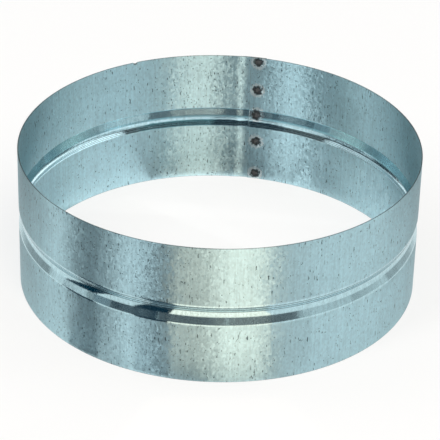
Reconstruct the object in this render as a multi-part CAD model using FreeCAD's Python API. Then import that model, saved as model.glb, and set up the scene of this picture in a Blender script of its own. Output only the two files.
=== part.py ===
# A duct connector: one strip of galvanised sheet rolled into a round band, its ends lapped and
# spot welded, with a stop bead rolled inwards half-way up. Millimetres, +Z along the duct.
# The origin is on the axis, in the middle plane of the bead.

import FreeCAD, Part
import math
import os

# Driving dimensions of the band
bore_diameter = 200.6
sheet_thickness = 0.5
band_height = 74.0

# Driving dimensions of the stop bead, a groove outside and a ridge inside
bead_width = 11.0
bead_depth = 1.8
bead_crest_radius = 5.0
bead_crease_radius = 1.5

# Angles about the axis in degrees, anticlockwise seen from above, with 90 at the rear
outer_edge_angle = 76.4
weld_angle = 78.8
inner_edge_angle = 81.2
step_end_angle = 81.6
step_start_angle = 86.1

# The step that lifts one end of the strip over the other: bend radius of its first curve
step_bend_radius = 45.0

# Spot welds: heights on the wall from the bead's middle plane, and the flat-ended welding tips
# whose shallow marks are left in both faces of the lap
wall_weld_heights = (34.4, 17.5, -13.8, -33.6)
bead_weld_height = 3.0
weld_tip_radius = 2.0
groove_tip_radius = 1.4
weld_mark_depth = 0.18
weld_tip_length = 1.0

# Values that follow from the dimensions above
bore_radius = bore_diameter / 2
half_height = band_height / 2
bead_half_width = bead_width / 2
lifted_radius = bore_radius + sheet_thickness
full_turn = 360.0
vertical = FreeCAD.Vector(0, 0, 1)


# Point in the radial plane at angle 0
def section_point(radius, height):
    return FreeCAD.Vector(radius, 0, height)


# Slope of the bead's flanks from the vertical, tangent to its crest and to both creases
def bead_flank_angle():
    radii = bead_crest_radius + bead_crease_radius
    reach = math.hypot(bead_half_width, radii - bead_depth)
    return math.asin(radii / reach) - math.atan2(radii - bead_depth, bead_half_width)


# First point of a curve, in the direction it was drawn
def curve_start(curve):
    return curve.firstVertex(True).Point


# Last point of a curve, in the direction it was drawn
def curve_end(curve):
    return curve.lastVertex(True).Point


# Arc in the radial plane, about a centre, from one angle to another in radians
def section_arc(centre, radius, start, end):
    points = []
    for angle in (start, (start + end) / 2, end):
        points.append(centre + section_point(radius * math.cos(angle), radius * math.sin(angle)))
    return Part.Arc(*points).toShape()


# One face of the beaded sheet from the upper rim to the lower: its inner face at offset 0 for a
# bore of the radius given, or a face that far out from it, square to the sheet
def beaded_line(radius, offset):
    flank = bead_flank_angle()
    crest_centre = section_point(radius - bead_depth + bead_crest_radius, 0)
    crest = section_arc(crest_centre, bead_crest_radius - offset, math.pi - flank, math.pi + flank)
    upper_centre = section_point(radius - bead_crease_radius, bead_half_width)
    upper = section_arc(upper_centre, bead_crease_radius + offset, 0, -flank)
    lower_centre = section_point(radius - bead_crease_radius, -bead_half_width)
    lower = section_arc(lower_centre, bead_crease_radius + offset, flank, 0)
    upper_rim = section_point(radius + offset, half_height)
    lower_rim = section_point(radius + offset, -half_height)
    return [Part.makeLine(upper_rim, curve_start(upper)), upper,
            Part.makeLine(curve_end(upper), curve_start(crest)), crest,
            Part.makeLine(curve_end(crest), curve_start(lower)), lower,
            Part.makeLine(curve_end(lower), lower_rim)]


# Section of the strip between two bore radii: one sheet if they are equal, else the lap's two
def strip_section(inner_radius, outer_radius):
    inside = beaded_line(inner_radius, 0)
    outside = beaded_line(outer_radius, sheet_thickness)
    top = Part.makeLine(section_point(inner_radius, half_height),
                        section_point(outer_radius + sheet_thickness, half_height))
    bottom = Part.makeLine(section_point(inner_radius, -half_height),
                           section_point(outer_radius + sheet_thickness, -half_height))
    wire = Part.Wire(Part.__sortEdges__(inside + outside + [top, bottom]))
    return Part.Face(wire)


# A section turned about the band's axis from one angle to another
def turned(section, start, end):
    piece = section.revolve(FreeCAD.Vector(), vertical, end - start)
    piece.rotate(FreeCAD.Vector(), vertical, start)
    return piece


# Horizontal unit vector at an angle in degrees
def outward(angle):
    return FreeCAD.Vector(math.cos(math.radians(angle)), math.sin(math.radians(angle)), 0)


# Signed turn in degrees, the short way, from one horizontal vector to another
def turn_between(first, second):
    cross = first.x * second.y - first.y * second.x
    return math.degrees(math.atan2(cross, first.dot(second)))


# The step at the lap: an outward bend about a centre outside the band, then an inward bend,
# tangent to each other and to the wall at both ends
def lap_step():
    span = math.radians(step_start_angle - step_end_angle)
    out_reach = bore_radius + step_bend_radius
    squares = 2 * out_reach * sheet_thickness + sheet_thickness ** 2
    in_reach = squares / (2 * (sheet_thickness + out_reach * (1 - math.cos(span))))
    out_centre = outward(step_start_angle) * out_reach
    in_centre = outward(step_end_angle) * in_reach
    between = in_centre - out_centre
    low_end = strip_section(bore_radius, bore_radius)
    low_end.rotate(FreeCAD.Vector(), vertical, step_start_angle)
    bend_out = low_end.revolve(out_centre, vertical, turn_between(out_centre * -1, between))
    high_end = strip_section(lifted_radius, lifted_radius)
    high_end.rotate(FreeCAD.Vector(), vertical, step_end_angle)
    bend_in = high_end.revolve(in_centre, vertical, turn_between(in_centre, between * -1))
    return [bend_out, bend_in]


# The band: the single sheet round the circle, the lap of two, and the step up to the outer one
def rolled_band():
    single = strip_section(bore_radius, bore_radius)
    lap = strip_section(bore_radius, lifted_radius)
    lifted = strip_section(lifted_radius, lifted_radius)
    wall = turned(single, step_start_angle, full_turn + outer_edge_angle)
    both = turned(lap, outer_edge_angle, inner_edge_angle)
    lip = turned(lifted, inner_edge_angle, step_end_angle)
    return wall.fuse([both, lip] + lap_step()).removeSplitter()


# Welding tip, a cone that widens at 45 degrees from its flat end, pressed into a face at a point
def welding_tip(point, normal, radius):
    end = point - normal * weld_mark_depth
    return Part.makeCone(radius, radius + weld_tip_length, weld_tip_length, end, normal)


# Point on the inner face of the bead's upper flank at the middle weld's height, in the radial plane
def flank_point():
    flank = bead_flank_angle()
    tangent_height = bead_crest_radius * math.sin(flank)
    tangent_radius = bore_radius - bead_depth + bead_crest_radius * (1 - math.cos(flank))
    climb = bead_weld_height - tangent_height
    return section_point(tangent_radius + climb * math.tan(flank), bead_weld_height)


# Tips of the five welds, on both faces of the lap
def welding_tips():
    radial = outward(weld_angle)
    tips = []
    for height in wall_weld_heights:
        inside = radial * bore_radius + vertical * height
        outside = radial * (lifted_radius + sheet_thickness) + vertical * height
        tips.append(welding_tip(inside, radial * -1, weld_tip_radius))
        tips.append(welding_tip(outside, radial, weld_tip_radius))
    # The middle weld is on the bead's upper flank inside, and at the foot of the groove outside
    flank = bead_flank_angle()
    spot = flank_point()
    inside = radial * spot.x + vertical * spot.z
    facing = vertical * math.sin(flank) - radial * math.cos(flank)
    tips.append(welding_tip(inside, facing, weld_tip_radius))
    groove = radial * (lifted_radius + sheet_thickness - bead_depth)
    tips.append(welding_tip(groove, radial, groove_tip_radius))
    return tips


# The finished connector, one solid
def connector_band():
    return rolled_band().cut(welding_tips())


shape = connector_band().Solids[0]
os.makedirs("parts", exist_ok=True)
shape.exportStep("parts/connector_band.step")
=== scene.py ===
from math import asin, atan2, cos, degrees, hypot, pi, radians, sin, tan
import bpy
import bmesh
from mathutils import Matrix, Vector


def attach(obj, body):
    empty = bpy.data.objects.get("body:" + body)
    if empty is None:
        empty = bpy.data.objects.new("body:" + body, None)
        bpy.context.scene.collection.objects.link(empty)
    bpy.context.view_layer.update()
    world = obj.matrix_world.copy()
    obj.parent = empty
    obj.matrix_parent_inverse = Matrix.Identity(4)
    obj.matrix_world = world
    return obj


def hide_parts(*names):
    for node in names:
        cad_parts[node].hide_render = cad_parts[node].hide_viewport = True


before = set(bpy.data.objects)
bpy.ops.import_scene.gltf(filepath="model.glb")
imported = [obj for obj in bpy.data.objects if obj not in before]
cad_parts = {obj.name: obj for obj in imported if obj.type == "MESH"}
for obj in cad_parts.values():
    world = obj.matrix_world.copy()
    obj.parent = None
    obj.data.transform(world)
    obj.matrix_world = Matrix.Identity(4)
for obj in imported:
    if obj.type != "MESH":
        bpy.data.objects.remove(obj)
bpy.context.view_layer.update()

MM = 0.001

# The band's own sizes, the same as in its source
BORE_RADIUS = 100.3 * MM
SHEET = 0.5 * MM
OUTER_RADIUS = BORE_RADIUS + SHEET
HALF_HEIGHT = 37.0 * MM
BEAD_HALF_WIDTH = 5.5 * MM
BEAD_DEPTH = 1.8 * MM
CREST_RADIUS = 5.0 * MM
CREASE_RADIUS = 1.5 * MM
OUTER_EDGE = 76.4
WELD_ANGLE = 78.8
INNER_EDGE = 81.2
STEP_END = 81.6
STEP_START = 86.1
STEP_BEND = 45.0 * MM
NICK_ANGLE = 117.5
SCRATCH_ANGLE = 276.8
WALL_WELDS = (34.4 * MM, 17.5 * MM, -13.8 * MM, -33.6 * MM)
BEAD_WELD = 3.0 * MM

# Radius and depth of the nested presses that make each round mark
WELD_PRESSES = ((2.5 * MM, 0.05 * MM), (2.0 * MM, 0.07 * MM), (1.3 * MM, 0.05 * MM))
NICK_PRESSES = ((1.1 * MM, 0.22 * MM), (0.7 * MM, 0.33 * MM))

# Heights of the fine lines that the rolls left on the bead's slopes that face down
ROLL_LINES = (2.85 * MM, 4.2 * MM)
ROLL_LINE_DEPTH = 0.03 * MM

# Length along the flat strip that its map counts as one
STRIP = 640.0 * MM

# The finish: colours of the zinc and of the marks on it, and how far its crystals lean
ZINC = (0.46, 0.665, 0.72)
FLECK = (0.02, 0.035, 0.05, 1)
SCRATCH = (0.05, 0.07, 0.09, 1)
# Colour of the roll lines: partly real roll marks, partly painted shade on the slopes that face down
SHADED_ROLL_LINE = (0.04, 0.07, 0.09, 1)
SQUEEZED_ZINC = (0.82, 0.88, 0.88, 1)
BURNT_MIDDLE = (0.17, 0.155, 0.15, 1)
BURNT_RING = (0.035, 0.03, 0.03, 1)
BARE_STEEL = (0.06, 0.055, 0.05, 1)
CRYSTAL_LEAN = 0.1

# How rough the burnished bead, the zinc's crystals and the dull places are
BEAD_ROUGH = 0.14
ZINC_ROUGH = (0.43, 0.5)
DULL_ROUGH = 0.62

# The studio: how far off its lamps and cards stand, and the colour of its darkest cards
STUDIO_RADIUS = 2.2
DARK_BLUE = (0.0, 0.025, 0.045)


def deselect_everything():
    if bpy.context.object and bpy.context.object.mode != "OBJECT":
        bpy.ops.object.mode_set(mode="OBJECT")
    bpy.ops.object.select_all(action="DESELECT")


def select_vertices(piece, wanted):
    bpy.ops.mesh.select_mode(type="VERT")
    bpy.ops.mesh.select_all(action="DESELECT")
    mesh = bmesh.from_edit_mesh(piece.data)
    for vertex in mesh.verts:
        vertex.select = bool(wanted(vertex.co))
    mesh.select_flush_mode()
    bmesh.update_edit_mesh(piece.data)


def select_edges(piece, wanted):
    bpy.ops.mesh.select_mode(type="EDGE")
    bpy.ops.mesh.select_all(action="DESELECT")
    mesh = bmesh.from_edit_mesh(piece.data)
    for edge in mesh.edges:
        edge.select = bool(wanted(edge))
    mesh.select_flush_mode()
    bmesh.update_edit_mesh(piece.data)


def outward(angle):
    return Vector((cos(radians(angle)), sin(radians(angle)), 0.0))


def clockwise_turn(first, second):
    return atan2(second.x * first.y - second.y * first.x, first.dot(second))


# Startup objects go, so that only the part and its studio are in the scene
for name in ("Cube", "Light", "Camera"):
    if name in bpy.data.objects:
        bpy.data.objects.remove(bpy.data.objects[name])


# The sheet's inner face, drawn as a line up the wall and then carried round

def bead_corners():
    """The flank's slope, and where its straight line meets the wall and the middle plane."""
    radii = CREST_RADIUS + CREASE_RADIUS
    reach = hypot(BEAD_HALF_WIDTH, radii - BEAD_DEPTH)
    flank = asin(radii / reach) - atan2(radii - BEAD_DEPTH, BEAD_HALF_WIDTH)
    crease = BEAD_HALF_WIDTH - CREASE_RADIUS * tan(flank / 2)
    crest = BORE_RADIUS - crease * tan(flank)
    return flank, crease, crest


def draw_profile():
    flank, crease, crest = bead_corners()
    deselect_everything()
    bpy.ops.mesh.primitive_plane_add(size=2 * MM, location=(BORE_RADIUS, 0, HALF_HEIGHT))
    piece = bpy.context.object
    piece.name = "connector_sheet"
    bpy.ops.object.transform_apply(location=True, rotation=True, scale=True)
    bpy.ops.object.mode_set(mode="EDIT")
    bpy.ops.mesh.select_all(action="SELECT")
    bpy.ops.mesh.merge(type="CENTER")
    corners = [(BORE_RADIUS, HALF_HEIGHT), (BORE_RADIUS, crease), (crest, 0.0),
               (BORE_RADIUS, -crease), (BORE_RADIUS, -HALF_HEIGHT)]
    for here, there in zip(corners, corners[1:]):
        move = (there[0] - here[0], 0, there[1] - here[1])
        bpy.ops.mesh.extrude_region_move(TRANSFORM_OT_translate={"value": move})
    select_vertices(piece, lambda at: abs(abs(at.z) - crease) < 0.1 * MM)
    bpy.ops.mesh.bevel(offset=CREASE_RADIUS * tan(flank / 2), segments=6, affect="VERTICES")
    select_vertices(piece, lambda at: abs(at.z) < 0.1 * MM)
    bpy.ops.mesh.bevel(offset=CREST_RADIUS * tan(flank), segments=12, affect="VERTICES")
    # Rows of points up the plain walls and the flanks, for the weld marks and the roll lines
    select_edges(piece, lambda edge: edge.calc_length() > 20 * MM)
    bpy.ops.mesh.subdivide(number_cuts=44)
    select_edges(piece, lambda edge: edge.calc_length() > 2 * MM)
    bpy.ops.mesh.subdivide(number_cuts=15)
    bpy.ops.mesh.select_all(action="SELECT")
    bpy.ops.transform.rotate(value=-radians(INNER_EDGE), orient_axis="Z", center_override=(0, 0, 0))
    return piece


def profile_radii(piece):
    """Radius of the drawn line at each of its heights."""
    mesh = bmesh.from_edit_mesh(piece.data)
    return {round(vertex.co.z, 6): vertex.co.xy.length for vertex in mesh.verts}


def sweep(angle, steps, centre=(0, 0, 0)):
    """Carries the sheet's open end clockwise about a vertical axis, by an angle in radians."""
    bpy.ops.mesh.spin(steps=steps, angle=angle, center=centre, axis=(0, 0, 1))


def roll_round():
    """The whole strip: the inner end of the lap, once round, the step out and the outer end."""
    # The steps are closer together at the lap's welds and at the nick in the rim
    lap_stretch = 6.0
    nick_stretch = 3.0
    nick_start = NICK_ANGLE + nick_stretch / 2
    nick_end = NICK_ANGLE - nick_stretch / 2
    sweep(radians(lap_stretch), 24)
    sweep(radians(360.0 + INNER_EDGE - lap_stretch - nick_start), 204)
    sweep(radians(nick_stretch), 12)
    sweep(radians(nick_end - STEP_START), 20)
    # The step up to the outer end: a bend outwards and then one inwards, tangent to each other
    out_reach = BORE_RADIUS + STEP_BEND
    span = radians(STEP_START - STEP_END)
    squares = 2 * out_reach * SHEET + SHEET ** 2
    in_reach = squares / (2 * (SHEET + out_reach * (1 - cos(span))))
    out_centre = outward(STEP_START) * out_reach
    in_centre = outward(STEP_END) * in_reach
    sweep(clockwise_turn(-out_centre, in_centre - out_centre), 8, out_centre)
    sweep(clockwise_turn(out_centre - in_centre, in_centre), 8, in_centre)
    sweep(radians(STEP_END - OUTER_EDGE), 20)


def along_strip(at, radii):
    """How far a point of the sheet is from the inner free edge, along the unrolled strip."""
    angle = degrees(atan2(at.y, at.x))
    lifted = at.xy.length - radii[round(at.z, 6)]
    if angle > INNER_EDGE + 0.1 or lifted > SHEET / 2:
        angle -= 360.0
    return radians(INNER_EDGE - angle) * BORE_RADIUS


def lay_out_strip(piece, radii):
    """A map of the strip laid flat, both ways to one scale."""
    mesh = bmesh.from_edit_mesh(piece.data)
    flat = mesh.loops.layers.uv.new("strip")
    for face in mesh.faces:
        for loop in face.loops:
            at = loop.vert.co
            loop[flat].uv = (along_strip(at, radii) / STRIP, (at.z + HALF_HEIGHT) / STRIP)
    bmesh.update_edit_mesh(piece.data)


def face_outwards(piece):
    bpy.ops.mesh.select_all(action="SELECT")
    bpy.ops.mesh.normals_make_consistent(inside=False)
    mesh = bmesh.from_edit_mesh(piece.data)
    outside = sum(face.normal.xy.dot(face.calc_center_median().xy) for face in mesh.faces)
    if outside < 0:
        bpy.ops.mesh.flip_normals()


def apply_modifier(piece, kind, **settings):
    modifier = piece.modifiers.new(kind.lower(), kind)
    for name, value in settings.items():
        setattr(modifier, name, value)
    bpy.context.view_layer.objects.active = piece
    bpy.ops.object.modifier_apply(modifier=modifier.name)


def press_welds(piece):
    """Shallow round marks of the welding tips, in the inner and the outer face of the lap."""
    radial = outward(WELD_ANGLE)
    side = Vector((-radial.y, radial.x, 0.0))
    lap_radius = BORE_RADIUS + 2 * SHEET
    slope_radius = BORE_RADIUS - 1.0 * MM
    marks = [(height, BORE_RADIUS, 1) for height in WALL_WELDS]
    marks += [(height, lap_radius, -1) for height in WALL_WELDS]
    marks += [(BEAD_WELD, slope_radius, 1), (0.0, lap_radius - BEAD_DEPTH, -1)]
    for height, radius, way in marks:
        # The bead's weld sits on a slope, so its mark takes in a deeper band of points
        band = 0.84 * MM if height == BEAD_WELD else 0.24 * MM
        for reach, press in WELD_PRESSES:
            def under_tip(at):
                if at.dot(radial) < 0 or abs(at.xy.length - radius) > band:
                    return False
                return hypot(at.dot(side), at.z - height) < reach
            select_vertices(piece, under_tip)
            bpy.ops.transform.translate(value=radial * press * way)


def score_roll_lines(piece):
    """Fine grooves round the two slopes of the bead that face down, outside above and inside below."""
    flank, _, crest = bead_corners()
    for height in ROLL_LINES:
        for side in (1, -1):
            # Points of the outer face above the middle plane, and of the inner face below it
            def on_line(at):
                if abs(at.z - side * height) > 0.11 * MM:
                    return False
                off_inner_face = at.xy.length - crest - height * tan(flank)
                return off_inner_face > 0.27 * MM if side > 0 else abs(off_inner_face) < 0.2 * MM
            select_vertices(piece, on_line)
            press = 1 - side * ROLL_LINE_DEPTH / BORE_RADIUS
            bpy.ops.transform.resize(value=(press, press, 1), center_override=(0, 0, 0))


def nick_rim(piece):
    """The small notch knocked into the upper rim at the rear left."""
    notch = outward(NICK_ANGLE)
    lowest = HALF_HEIGHT - 0.95 * MM
    for reach, depth in NICK_PRESSES:
        select_vertices(piece, lambda at: at.z > lowest
                        and (at.xy - (notch * at.xy.length).xy).length < reach)
        bpy.ops.transform.translate(value=(0, 0, -depth))


def build_sheet():
    sheet = draw_profile()
    radii = profile_radii(sheet)
    select_vertices(sheet, lambda at: True)
    roll_round()
    lay_out_strip(sheet, radii)
    face_outwards(sheet)
    bpy.ops.object.mode_set(mode="OBJECT")
    apply_modifier(sheet, "SOLIDIFY", thickness=SHEET, offset=1.0, use_even_offset=True,
                   use_quality_normals=True)
    bpy.ops.object.mode_set(mode="EDIT")
    press_welds(sheet)
    score_roll_lines(sheet)
    nick_rim(sheet)
    bpy.ops.object.mode_set(mode="OBJECT")
    apply_modifier(sheet, "BEVEL", width=0.07 * MM, segments=2, limit_method="ANGLE",
                   angle_limit=radians(50))
    bpy.ops.object.shade_smooth_by_angle(angle=radians(35))
    return sheet


# Nodes of the zinc finish, laid out on the unrolled strip

def add_node(tree, kind, **settings):
    node = tree.nodes.new(kind)
    for name, value in settings.items():
        setattr(node, name, value)
    return node


def feed(tree, socket, value):
    """Gives a socket a number, a colour or another node's output."""
    if isinstance(value, bpy.types.NodeSocket):
        tree.links.new(value, socket)
    else:
        socket.default_value = value


def maths(tree, operation, *values):
    node = add_node(tree, "ShaderNodeMath", operation=operation)
    for socket, value in zip(node.inputs, values):
        feed(tree, socket, value)
    return node.outputs[0]


def vectors(tree, operation, first, second=None, scale=None):
    node = add_node(tree, "ShaderNodeVectorMath", operation=operation)
    feed(tree, node.inputs[0], first)
    if second is not None:
        feed(tree, node.inputs[1], second)
    if scale is not None:
        feed(tree, node.inputs["Scale"], scale)
    return node.outputs["Value"] if operation == "DISTANCE" else node.outputs["Vector"]


def fade(tree, value, start, end, low=0.0, high=1.0):
    """A smooth change from low to high while the value goes from start to end."""
    node = add_node(tree, "ShaderNodeMapRange", interpolation_type="SMOOTHSTEP")
    for socket, number in zip(node.inputs, (value, start, end, low, high)):
        feed(tree, socket, number)
    return node.outputs[0]


def blend_colours(tree, share, first, second):
    node = add_node(tree, "ShaderNodeMix", data_type="RGBA")
    for place, value in ((0, share), (6, first), (7, second)):
        feed(tree, node.inputs[place], value)
    return node.outputs[2]


def blend_numbers(tree, share, first, second):
    node = add_node(tree, "ShaderNodeMix", data_type="FLOAT")
    for place, value in ((0, share), (2, first), (3, second)):
        feed(tree, node.inputs[place], value)
    return node.outputs[0]


def parts_of(tree, value, kind="ShaderNodeSeparateColor"):
    node = add_node(tree, kind)
    feed(tree, node.inputs[0], value)
    return node.outputs


def stretched(tree, strip, across, up, turn=0.0, shift=(0.0, 0.0, 0.0)):
    """The strip's map counted in cells of so many millimetres across and up."""
    node = add_node(tree, "ShaderNodeMapping")
    feed(tree, node.inputs["Vector"], strip)
    node.inputs["Location"].default_value = shift
    node.inputs["Rotation"].default_value = (0.0, 0.0, turn)
    node.inputs["Scale"].default_value = (STRIP / MM / across, STRIP / MM / up, 1.0)
    return node.outputs[0]


def cells(tree, place):
    node = add_node(tree, "ShaderNodeTexVoronoi")
    feed(tree, node.inputs["Vector"], place)
    node.inputs["Scale"].default_value = 1.0
    return node


def clouds(tree, place, detail=2.0, rough=0.5):
    node = add_node(tree, "ShaderNodeTexNoise")
    feed(tree, node.inputs["Vector"], place)
    node.inputs["Scale"].default_value = 1.0
    node.inputs["Detail"].default_value = detail
    node.inputs["Roughness"].default_value = rough
    return node


def either_way(tree, colour, amount):
    """Random vectors about nought, from a texture's colour."""
    return vectors(tree, "SCALE", vectors(tree, "SUBTRACT", colour, (0.5, 0.5, 0.5)), scale=amount)


def flat_place(turn, height):
    """A place on the flat strip in millimetres, from degrees past its inner free edge."""
    return radians(turn) * BORE_RADIUS / MM, (height + HALF_HEIGHT) / MM, 0.0


def crowding(tree, flat):
    """Flecks crowd at the strip's two lapped ends and at the front left, by millimetres along."""
    along = parts_of(tree, flat, "ShaderNodeSeparateXYZ")[0]
    front = maths(tree, "MULTIPLY", fade(tree, along, 298.0, 322.0), fade(tree, along, 396.0, 372.0))
    ends = maths(tree, "MAXIMUM", fade(tree, along, 66.0, 40.0), fade(tree, along, 566.0, 592.0))
    return fade(tree, maths(tree, "MAXIMUM", front, ends), 0.0, 1.0, 0.8, 2.3)


def flecks(tree, strip, crowd, across, up, size, share, turn, shift):
    """Short dark strokes scattered over the sheet, one in some of the cells."""
    wander = clouds(tree, stretched(tree, strip, 1.0, 1.2), 1.0).outputs["Color"]
    place = stretched(tree, strip, across, up, turn, shift)
    spots = cells(tree, vectors(tree, "ADD", place, either_way(tree, wander, 0.4)))
    mark = fade(tree, spots.outputs["Distance"], size * 1.35, size * 0.65)
    lot = parts_of(tree, spots.outputs["Color"])
    patchy = clouds(tree, stretched(tree, strip, 24.0, 18.0, 0.0, shift), 2.0).outputs["Fac"]
    limit = fade(tree, patchy, 0.3, 0.7, share * 0.5, share * 1.5)
    chosen = maths(tree, "LESS_THAN", lot[0], maths(tree, "MULTIPLY", limit, crowd))
    depth = fade(tree, lot[1], 0.0, 1.0, 0.25, 0.95)
    return maths(tree, "MULTIPLY", maths(tree, "MULTIPLY", mark, chosen), depth)


def weld_distance(tree, flat):
    """Distance in millimetres from the nearest weld on the strip laid flat."""
    inner = INNER_EDGE - WELD_ANGLE
    outer = inner + 360.0
    spots = [(turn, height) for turn in (inner, outer) for height in WALL_WELDS]
    spots += [(inner, BEAD_WELD), (outer, 0.0)]
    nearest = None
    for turn, height in spots:
        away = vectors(tree, "DISTANCE", flat, flat_place(turn, height))
        nearest = away if nearest is None else maths(tree, "MINIMUM", nearest, away)
    return nearest


def hairline_scratch(tree, strip, flat):
    """One thin scratch on the lower wall at the front."""
    along, up, _ = parts_of(tree, flat, "ShaderNodeSeparateXYZ")
    wobble = clouds(tree, stretched(tree, strip, 2.0, 2.0), 2.0).outputs["Fac"]
    start = flat_place(INNER_EDGE + 360.0 - SCRATCH_ANGLE, 0.0)[0]
    top = 29.0
    slant = 0.32
    line = maths(tree, "MULTIPLY_ADD", maths(tree, "SUBTRACT", top, up), slant, start)
    line = maths(tree, "ADD", line, fade(tree, wobble, 0.3, 0.7, -0.35, 0.35))
    off = maths(tree, "ABSOLUTE", maths(tree, "SUBTRACT", along, line))
    ends = maths(tree, "MULTIPLY", fade(tree, up, 22.6, 23.4), fade(tree, up, 29.2, 28.4))
    return maths(tree, "MULTIPLY", fade(tree, off, 0.34, 0.12), ends)


def spangle(tree, strip):
    """Small ragged crystals, each with random colour values of its own."""
    wander = clouds(tree, stretched(tree, strip, 1.3, 1.8), 2.0).outputs["Color"]
    place = vectors(tree, "ADD", stretched(tree, strip, 0.85, 1.4), either_way(tree, wander, 1.0))
    return cells(tree, place).outputs["Color"]


def leaning_normal(tree, strip, crystals, off_bead):
    """A slight tilt for each crystal, upright waves and shallow dents, all fainter on the bead."""
    waves = clouds(tree, stretched(tree, strip, 2.4, 160.0), 3.0, 0.65).outputs["Color"]
    dents = clouds(tree, stretched(tree, strip, 7.0, 10.0), 3.0).outputs["Color"]
    lean = vectors(tree, "ADD", either_way(tree, crystals, CRYSTAL_LEAN),
                   either_way(tree, waves, 0.05))
    lean = vectors(tree, "ADD", lean, either_way(tree, dents, 0.05))
    lean = vectors(tree, "SCALE", lean, scale=fade(tree, off_bead, 0.0, 1.0, 0.16, 1.0))
    facing = add_node(tree, "ShaderNodeNewGeometry").outputs["Normal"]
    return vectors(tree, "NORMALIZE", vectors(tree, "ADD", facing, lean))


def zinc_tone(tree, strip, lot):
    """The zinc's colour, which changes with the crystals, upright streaks and broad clouds."""
    streak = clouds(tree, stretched(tree, strip, 1.2, 70.0), 3.0, 0.65).outputs["Fac"]
    broad = clouds(tree, stretched(tree, strip, 45.0, 30.0), 2.0).outputs["Fac"]
    tone = maths(tree, "ADD", fade(tree, lot, 0.0, 1.0, 0.94, 1.06),
                 fade(tree, streak, 0.3, 0.7, -0.06, 0.06))
    tone = maths(tree, "ADD", tone, fade(tree, broad, 0.3, 0.7, -0.04, 0.04))
    return vectors(tree, "SCALE", ZINC, scale=tone)


def layers_of_flecks(tree, strip, flat, off_bead):
    """Dark flecks of four kinds, thicker in some patches than in others and faint on the bead."""
    crowd = crowding(tree, flat)
    marks = 0.0
    # Millimetres across and up for a cell, size of its fleck, share of cells with one, turn, shift
    for layer in ((1.9, 7.4, 0.15, 0.7, 0.07, (0.0, 0.0, 0.0)),
                  (1.5, 3.4, 0.16, 0.5, -0.25, (0.37, 0.61, 0.0)),
                  (3.3, 1.9, 0.13, 0.4, 0.4, (0.2, 0.9, 0.0)),
                  (1.2, 2.0, 0.17, 0.22, 0.3, (0.7, 0.4, 0.0))):
        marks = maths(tree, "MAXIMUM", marks, flecks(tree, strip, crowd, *layer))
    return maths(tree, "MULTIPLY", marks, fade(tree, off_bead, 0.0, 1.0, 0.25, 0.92))


def roll_lines_with_painted_shade(tree, level, facing_up, off_bead):
    """Fine lines that the rolls left on the bead's slopes facing down, painted dark only there: partly
    real roll marks, partly painted shade.
    """
    first, second = ROLL_LINES
    past_first = maths(tree, "SUBTRACT", level, first)
    turns = maths(tree, "MULTIPLY", past_first, 2 * pi / (second - first))
    lines = fade(tree, maths(tree, "COSINE", turns), 0.1, 0.85)
    slope = maths(tree, "MULTIPLY", fade(tree, facing_up, -0.2, -0.3),
                  maths(tree, "SUBTRACT", 1.0, off_bead))
    return maths(tree, "MULTIPLY", lines, slope)


def scorched_welds(tree, strip, flat, colour):
    """A dark ring round a greyer middle, with a bright rim of squeezed zinc, at every weld."""
    ragged = clouds(tree, stretched(tree, strip, 1.3, 1.3), 3.0, 0.7).outputs["Fac"]
    away = maths(tree, "ADD", weld_distance(tree, flat), fade(tree, ragged, 0.25, 0.75, -0.9, 0.9))
    rim = maths(tree, "MULTIPLY", fade(tree, away, 2.5, 3.2), fade(tree, away, 4.6, 3.6))
    colour = blend_colours(tree, maths(tree, "MULTIPLY", rim, 0.8), colour, SQUEEZED_ZINC)
    scorch = fade(tree, away, 3.1, 2.2)
    burnt = blend_colours(tree, fade(tree, away, 0.5, 1.6), BURNT_MIDDLE, BURNT_RING)
    return blend_colours(tree, maths(tree, "MULTIPLY", scorch, 0.93), colour, burnt), scorch


def bare_places(tree, flat, level):
    """Where the steel is bare: on the cut rims and on the inner free edge. The nick is also painted
    darker.
    """
    along = parts_of(tree, flat, "ShaderNodeSeparateXYZ")[0]
    rims = fade(tree, level, HALF_HEIGHT - 0.25 * MM, HALF_HEIGHT - 0.05 * MM)
    edges = maths(tree, "MAXIMUM", rims, fade(tree, along, 0.35, 0.05))
    nick = flat_place(INNER_EDGE + 360.0 - NICK_ANGLE, HALF_HEIGHT)
    # The nick is painted darker, the same as the bare edges
    in_nick = fade(tree, vectors(tree, "DISTANCE", flat, nick), 1.5, 0.9)
    return maths(tree, "MAXIMUM", edges, in_nick)


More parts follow.
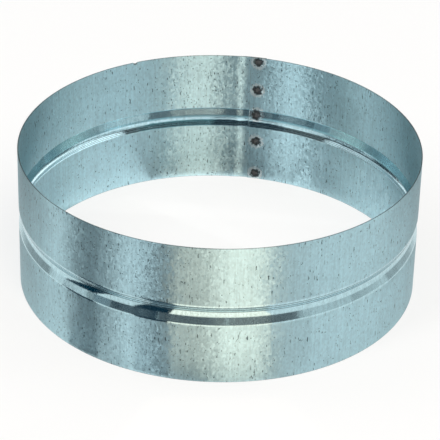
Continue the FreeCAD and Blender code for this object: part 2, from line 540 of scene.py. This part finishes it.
def galvanised_zinc():
    zinc = bpy.data.materials.new("galvanised_zinc")
    zinc.use_nodes = True
    tree = zinc.node_tree
    shader = tree.nodes["Principled BSDF"]
    strip = add_node(tree, "ShaderNodeUVMap", uv_map="strip").outputs["UV"]
    flat = stretched(tree, strip, 1.0, 1.0)
    own = add_node(tree, "ShaderNodeTexCoord").outputs
    facing_up = parts_of(tree, own["Normal"], "ShaderNodeSeparateXYZ")[2]
    level = maths(tree, "ABSOLUTE", parts_of(tree, own["Object"], "ShaderNodeSeparateXYZ")[2])
    off_bead = fade(tree, level, BEAD_HALF_WIDTH - 0.4 * MM, BEAD_HALF_WIDTH + 0.5 * MM)
    crystals = spangle(tree, strip)
    lot = parts_of(tree, crystals)
    feed(tree, shader.inputs["Normal"], leaning_normal(tree, strip, crystals, off_bead))

    # Colour, from the plain zinc up to the marks that lie over it
    colour = zinc_tone(tree, strip, lot[2])
    colour = blend_colours(tree, layers_of_flecks(tree, strip, flat, off_bead), colour, FLECK)
    scratch = hairline_scratch(tree, strip, flat)
    colour = blend_colours(tree, maths(tree, "MULTIPLY", scratch, 0.6), colour, SCRATCH)
    # Roll lines, painted dark only where the slopes face down: partly real marks, partly painted shade
    lines = roll_lines_with_painted_shade(tree, level, facing_up, off_bead)
    colour = blend_colours(tree, maths(tree, "MULTIPLY", lines, 0.75), colour, SHADED_ROLL_LINE)
    colour, scorch = scorched_welds(tree, strip, flat, colour)
    bare = bare_places(tree, flat, level)
    colour = blend_colours(tree, maths(tree, "MULTIPLY", bare, 0.55), colour, BARE_STEEL)
    feed(tree, shader.inputs["Base Color"], colour)

    # The rolls burnished the bead; welds and cut edges are dull
    rough = blend_numbers(tree, off_bead, BEAD_ROUGH, fade(tree, lot[1], 0.0, 1.0, *ZINC_ROUGH))
    rough = blend_numbers(tree, maths(tree, "MAXIMUM", scorch, bare), rough, DULL_ROUGH)
    feed(tree, shader.inputs["Roughness"], rough)
    shader.inputs["Metallic"].default_value = 1.0
    shader.inputs["Anisotropic"].default_value = 1.0
    shader.inputs["Anisotropic Rotation"].default_value = 0.25
    return zinc


# The studio: a white table, soft lamps, and cards out of the picture for the band to reflect

def spot_at(azimuth, distance, height=0.0):
    return outward(azimuth) * distance + Vector((0.0, 0.0, height))


def grey(level):
    return (level, level, level)


def glowing_card(name, colour):
    """A material that shows one even colour."""
    paper = bpy.data.materials.new(name)
    paper.use_nodes = True
    tree = paper.node_tree
    tree.nodes.clear()
    glow = add_node(tree, "ShaderNodeEmission")
    glow.inputs["Color"].default_value = (*colour, 1.0)
    feed(tree, add_node(tree, "ShaderNodeOutputMaterial").inputs["Surface"], glow.outputs[0])
    return paper


def set_up_card(card, name, colour):
    """A card works in reflections only, so it neither shows nor shades anything itself."""
    card.name = name
    card.data.materials.append(glowing_card(name, colour))
    card.visible_camera = False
    card.visible_diffuse = False
    card.visible_shadow = False


def wall_span(first, last, low, high):
    """Middle azimuth, width and heights of a panel that fills these angles seen from the band."""
    width = 2 * STUDIO_RADIUS * tan(radians((last - first) / 2))
    bottom = STUDIO_RADIUS * tan(radians(low)) - HALF_HEIGHT
    top = STUDIO_RADIUS * tan(radians(high)) - HALF_HEIGHT
    return (first + last) / 2, width, bottom, top


def stand_card(name, first, last, low, high, colour):
    """A card that fills these angles seen from the band, just behind the lamps."""
    middle, width, bottom, top = wall_span(first, last, low, high)
    deselect_everything()
    place = spot_at(middle, STUDIO_RADIUS * 1.02, (bottom + top) / 2)
    bpy.ops.mesh.primitive_plane_add(size=1, location=place,
                                     rotation=(pi / 2, 0, radians(middle) + pi / 2))
    card = bpy.context.object
    card.scale = (width, top - bottom, 1)
    bpy.ops.object.transform_apply(location=True, rotation=True, scale=True)
    set_up_card(card, name, colour)


def lay_card(name, corners, lift, colour):
    """A flat card just above the table, with four given corners."""
    deselect_everything()
    bpy.ops.mesh.primitive_plane_add(size=20, location=(0, 0, lift - HALF_HEIGHT))
    card = bpy.context.object
    bpy.ops.object.transform_apply(location=True, rotation=True, scale=True)
    bpy.ops.object.mode_set(mode="EDIT")
    for start, corner in zip(((-10, -10), (10, -10), (10, 10), (-10, 10)), corners):
        select_vertices(card, lambda at: hypot(at.x - start[0], at.y - start[1]) < 0.01)
        bpy.ops.transform.translate(value=(corner.x - start[0], corner.y - start[1], 0))
    bpy.ops.object.mode_set(mode="OBJECT")
    set_up_card(card, name, colour)


def lay_reflected_card(name, radius, turn, first, last, near, far, lift, colour):
    """A card where the wall from one angle to another reflects the table to the camera.

    Near and far are counted from the wall. Where two cards overlap, the higher one is seen.
    """
    corners = []
    for angle, reaches in ((first, (near, far)), (last, (far, near))):
        for reach in reaches:
            corners.append(outward(angle) * radius + outward(2 * angle + turn) * reach)
    lay_card(name, corners, lift, colour)


def lay_outer_card(name, first, last, near, far, lift, colour):
    lay_reflected_card(name, OUTER_RADIUS, -270, first, last, near, far, lift, colour)


def lay_inner_card(name, first, last, near, far, lift, colour):
    lay_reflected_card(name, BORE_RADIUS, 90, first, last, near, far, lift, colour)


def soft_lamp(name, first, last, low, high, level, colour):
    """A large even lamp that fills these angles seen from the band."""
    middle, width, bottom, top = wall_span(first, last, low, high)
    light = bpy.data.lights.new(name, "AREA")
    light.shape = "RECTANGLE"
    light.size, light.size_y = width, top - bottom
    light.energy = level * pi * width * (top - bottom)
    light.color = colour
    lamp = bpy.data.objects.new(name, light)
    lamp.location = spot_at(middle, STUDIO_RADIUS, (bottom + top) / 2)
    lamp.rotation_euler = (-outward(middle)).to_track_quat("-Z", "Y").to_euler()
    bpy.context.scene.collection.objects.link(lamp)


def top_lamp():
    light = bpy.data.lights.new("top_lamp", "AREA")
    light.shape = "SQUARE"
    light.size = 2.0
    light.energy = 0.5 * pi * light.size ** 2
    light.color = (0.97, 1.0, 1.0)
    lamp = bpy.data.objects.new("top_lamp", light)
    lamp.location = (0, 0, 1.8)
    bpy.context.scene.collection.objects.link(lamp)


def white_paper():
    """Plain white paper, evened out towards white where the camera or the metal sees it."""
    paper = bpy.data.materials.new("white_paper")
    paper.use_nodes = True
    tree = paper.node_tree
    shader = tree.nodes["Principled BSDF"]
    shader.inputs["Base Color"].default_value = (0.76, 0.76, 0.76, 1)
    shader.inputs["Roughness"].default_value = 0.9
    seen = add_node(tree, "ShaderNodeLightPath").outputs
    share = maths(tree, "MAXIMUM", seen["Is Camera Ray"], seen["Is Glossy Ray"])
    share = maths(tree, "MAXIMUM", share, seen["Is Transmission Ray"])
    glow = add_node(tree, "ShaderNodeEmission")
    glow.inputs["Color"].default_value = (0.98, 0.98, 0.98, 1)
    mix = add_node(tree, "ShaderNodeMixShader")
    feed(tree, mix.inputs[0], maths(tree, "MULTIPLY", share, 0.7))
    feed(tree, mix.inputs[1], shader.outputs[0])
    feed(tree, mix.inputs[2], glow.outputs[0])
    feed(tree, tree.nodes["Material Output"].inputs["Surface"], mix.outputs[0])
    return paper


sheet = build_sheet()
sheet.data.materials.append(galvanised_zinc())
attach(sheet, "root")
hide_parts("connector_band")

deselect_everything()
bpy.ops.mesh.primitive_plane_add(size=12, location=(0, 0, -HALF_HEIGHT))
floor = bpy.context.object
floor.name = "studio_floor"
floor.data.materials.append(white_paper())

# Cards that stand round the studio, by azimuth and elevation, mostly for the bead to reflect
stand_card("card_left", 136, 173, 0, 26, grey(0.2))
stand_card("card_pale_left", 174, 199, 1, 14, grey(0.85))
stand_card("card_front_left_edge", 203, 213, 0, 28, (0.22, 0.27, 0.3))
stand_card("card_front_left", 213, 240, 0, 28, DARK_BLUE)
stand_card("card_front", 240, 276, 0, 30, (0.12, 0.13, 0.14))
stand_card("card_front_right", 276, 314, 0, 30, (0.12, 0.13, 0.14))
stand_card("card_pale_right", 316, 346, 1, 20, (0.62, 0.64, 0.64))
stand_card("card_high_left", 181, 208, 28, 72, DARK_BLUE)
stand_card("card_high_front", 232, 272, 28, 72, DARK_BLUE)

# Cards on the table outside the band: two dark ones, a cream one to their right, and grey ones
# far off for both sides. Their angles are those of the part of the wall that reflects them.
for first, last, name in ((225, 236, "left"), (247.5, 257.5, "middle")):
    lay_outer_card("table_card_foot_" + name, first, last, 0.6 * MM, 5 * MM, 0.8 * MM, DARK_BLUE)
    lay_outer_card("table_card_near_" + name, first, last, 5 * MM, 17 * MM, 0.8 * MM, (0.34, 0.4, 0.43))
    lay_outer_card("table_card_" + name, first, last, 17 * MM, 1500 * MM, 0.8 * MM, DARK_BLUE)
lay_outer_card("table_card_near_cream", 257.5, 288, 4 * MM, 17 * MM, 0.6 * MM, (0.62, 0.62, 0.58))
lay_outer_card("table_card_cream", 257.5, 285, 17 * MM, 1500 * MM, 0.6 * MM, (1.75, 1.45, 1.2))
lay_outer_card("far_card_left", 196, 219, 150 * MM, 1900 * MM, 0.4 * MM, grey(0.42))
lay_outer_card("far_card_right", 322, 346, 150 * MM, 1900 * MM, 0.4 * MM, grey(0.5))

# Cards on the table inside the band: dark for the seam, the right and the rear, pale for the left
for near, far, name in ((8 * MM, 52 * MM, "near"), (80 * MM, 125 * MM, "far")):
    lay_inner_card("inner_card_seam_" + name, 74, 92, near, far, 0.8 * MM, DARK_BLUE)
    lay_inner_card("inner_card_right_" + name, 46, 60, near, far, 0.8 * MM, DARK_BLUE)
lay_inner_card("inner_card_low_right", 36, 46, 8 * MM, 50 * MM, 0.8 * MM, (0.3, 0.33, 0.35))
lay_inner_card("inner_card_low_rear", 92, 111, 10 * MM, 46 * MM, 0.7 * MM, (0.12, 0.26, 0.28))
for first, level in ((112, 1.25), (130, 1.3), (148, 1.7)):
    lay_inner_card("inner_card_left_%d" % first, first, first + 18, 12 * MM, 160 * MM, 0.4 * MM,
                   grey(level))

# Four dark cards on the table, along the foot of the rear wall inside the band: painted shadow that
# stands in for the rear wall's shade on the table, seen in reflections only
for first in (66.0, 77.5, 89.0, 100.5):
    one_end = outward(first)
    other_end = outward(first + 11.5)
    corners = (one_end * 78 * MM, one_end * 98.5 * MM, other_end * 98.5 * MM, other_end * 78 * MM)
    lay_card("rear_card_%d" % first, corners, 0.5 * MM, grey(0.06))

# Lamps by azimuth and elevation, a top lamp and a plain world
soft_lamp("warm_lamp", 269, 302, 36, 63, 8.2, (1.0, 0.83, 0.68))
soft_lamp("left_lamp", 211, 231, 35, 63, 7.5, (1.0, 1.0, 1.0))
soft_lamp("right_lamp", 315, 350, 24, 65, 1.1, (1.0, 1.0, 1.0))
soft_lamp("rear_right_lamp", 350, 400, 24, 65, 1.4, (1.0, 1.0, 1.0))
soft_lamp("rear_left_lamp", 140, 180, 24, 65, 1.5, (1.0, 1.0, 1.0))
top_lamp()
world = bpy.data.worlds["World"] if "World" in bpy.data.worlds else bpy.data.worlds.new("World")
bpy.context.scene.world = world
world.use_nodes = True
world.node_tree.nodes["Background"].inputs["Color"].default_value = (0.95, 1.0, 1.0, 1)
world.node_tree.nodes["Background"].inputs["Strength"].default_value = 0.45

# The camera, placed by the ellipses of the rims in the photograph
eye = bpy.data.cameras.new("photo_camera")
eye.lens = 180.602
eye.sensor_width = 36.0
camera = bpy.data.objects.new("photo_camera", eye)
camera.location = (0.0, -0.96775, 0.56132)
camera.rotation_euler = (radians(59.584), radians(-1.33), radians(0.7265))
bpy.context.scene.collection.objects.link(camera)
bpy.context.scene.camera = camera

bpy.context.scene.view_settings.view_transform = "Standard"
